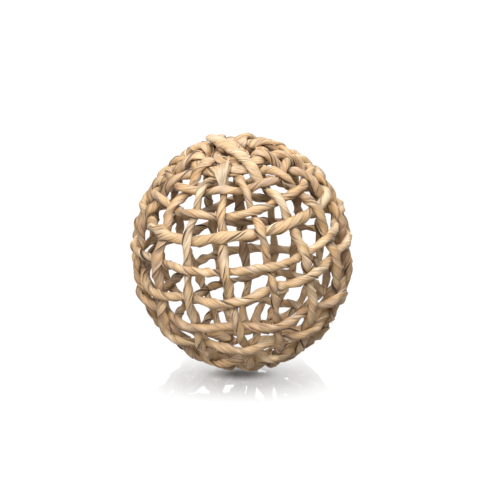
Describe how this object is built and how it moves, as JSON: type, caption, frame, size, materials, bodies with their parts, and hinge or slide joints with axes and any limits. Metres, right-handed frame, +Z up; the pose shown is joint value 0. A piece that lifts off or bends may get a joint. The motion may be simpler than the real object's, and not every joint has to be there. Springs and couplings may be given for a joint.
{
  "type": "decorative woven ball",
  "caption": "Hollow ball of twisted dried plant strands in an open plain weave, with the strand ends hooked over a small ring at the top and the bottom.",
  "frame": {"origin": "on the floor, under the centre of the ball's bounding box", "axes": "+Z up; -Y is the front, where the ball is seen from; +X is to the right of the front"},
  "size_m": [0.1936, 0.1946, 0.2107],
  "materials": {
    "tan": "dried stalk, matte",
    "brown": "dried stalk, matte",
    "pale": "dried stalk, matte",
    "dull": "dried stalk, matte"
  },
  "bodies": {
    "root": {"stake_01": "tan", "stake_02": "brown", "stake_03": "pale", "stake_04": "dull", "stake_05": "tan", "stake_06": "pale", "stake_07": "tan", "stake_08": "brown", "stake_09": "pale", "stake_10": "dull", "stake_11": "tan", "stake_12": "pale", "stake_13": "tan", "stake_14": "brown", "stake_15": "pale", "stake_16": "dull", "stake_17": "tan", "stake_18": "pale", "crown_top": "tan", "ring_01": "brown", "ring_02": "pale", "ring_03": "dull", "ring_04": "tan", "ring_05": "pale", "ring_06": "tan", "ring_07": "brown", "ring_08": "pale", "ring_09": "dull", "crown_bottom": "tan"}
  },
  "joints": []
}
